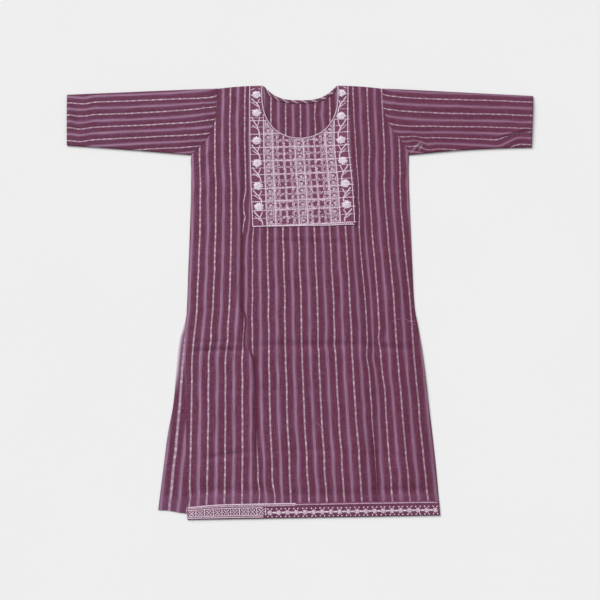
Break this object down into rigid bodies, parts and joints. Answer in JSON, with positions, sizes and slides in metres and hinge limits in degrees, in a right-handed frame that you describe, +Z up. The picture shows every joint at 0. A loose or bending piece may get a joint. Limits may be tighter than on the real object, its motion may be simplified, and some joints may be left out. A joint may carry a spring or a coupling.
{
  "type": "kurti",
  "caption": "Straight-cut cotton kurti laid flat, front up: round neck, embroidered yoke, three-quarter sleeves, side slits and a hem border.",
  "frame": {"origin": "on the floor under the middle of the garment's bounding box", "axes": "+X to the right as one looks at the front, cuff to cuff; +Y from hem to shoulders; +Z up from the floor, out of the front"},
  "size_m": [1.128, 1.031, 0.0066],
  "materials": {
    "striped_cloth": "plum cotton with thin broken white stripes and wider mauve stripes",
    "embroidery": "plum cotton closely worked with off-white thread",
    "neck_edging": "off-white corded stitching",
    "bias_facing": "the striped cloth cut on the bias, its stripes running slantwise"
  },
  "bodies": {
    "root": {"back_panel": "striped_cloth", "front_panel": "striped_cloth", "sleeve_left": "striped_cloth", "sleeve_right": "striped_cloth", "yoke_panel": "embroidery", "front_neck_binding": "neck_edging", "back_neck_facing": "bias_facing", "hem_band": "embroidery"}
  },
  "joints": []
}
